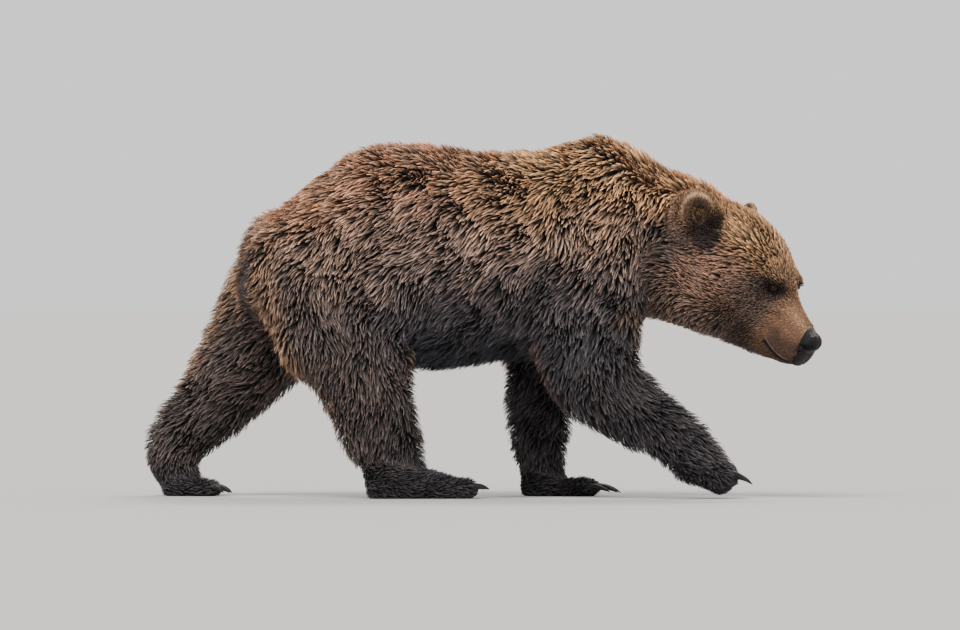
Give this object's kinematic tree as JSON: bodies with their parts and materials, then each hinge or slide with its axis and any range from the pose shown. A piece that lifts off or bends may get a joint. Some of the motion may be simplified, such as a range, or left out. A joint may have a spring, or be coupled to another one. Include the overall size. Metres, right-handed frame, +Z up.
{
  "type": "brown bear museum model",
  "caption": "Life-size brown bear walking with its head low, one forepaw just lifted; a still museum-type model in a long shaggy coat.",
  "frame": {"origin": "middle of the length and width of the whole model, at the level of the soles it stands on", "axes": "+X forward, the way the bear walks; +Y to the bear's left; +Z up"},
  "size_m": [1.8788, 0.53, 0.9911],
  "materials": {
    "body_coat": "long dense brown coat, matt, golden at the tips",
    "head_coat": "short dense coat, matt, light golden brown",
    "muzzle_coat": "very short flat coat, tan",
    "dark_coat": "dense coat, matt, near black",
    "nose": "bare grained skin, slightly moist",
    "eye": "polished, dark brown",
    "claw": "horn, worn, paler at the edge"
  },
  "bodies": {
    "root": {"rump": "body_coat", "belly": "body_coat", "chest": "body_coat", "tail": "body_coat", "fore_right_upper": "body_coat", "fore_right_lower": "dark_coat", "fore_right_paw": "dark_coat", "fore_left_upper": "body_coat", "fore_left_lower": "dark_coat", "fore_left_paw": "dark_coat", "hind_right_upper": "body_coat", "hind_right_lower": "dark_coat", "hind_right_paw": "dark_coat", "hind_left_upper": "body_coat", "hind_left_lower": "dark_coat", "hind_left_paw": "dark_coat", "neck": "body_coat", "head": "head_coat", "muzzle": "muzzle_coat", "jaw": "muzzle_coat", "nose": "nose", "ear_left": "body_coat", "ear_right": "body_coat", "eye_left": "eye", "eye_right": "eye", "fore_right_claw_1": "claw", "fore_right_claw_2": "claw", "fore_right_claw_3": "claw", "fore_right_claw_4": "claw", "fore_right_claw_5": "claw", "fore_left_claw_1": "claw", "fore_left_claw_2": "claw", "fore_left_claw_3": "claw", "fore_left_claw_4": "claw", "fore_left_claw_5": "claw", "hind_right_claw_1": "claw", "hind_right_claw_2": "claw", "hind_right_claw_3": "claw", "hind_right_claw_4": "claw", "hind_right_claw_5": "claw", "hind_left_claw_1": "claw", "hind_left_claw_2": "claw", "hind_left_claw_3": "claw", "hind_left_claw_4": "claw", "hind_left_claw_5": "claw"}
  },
  "joints": []
}
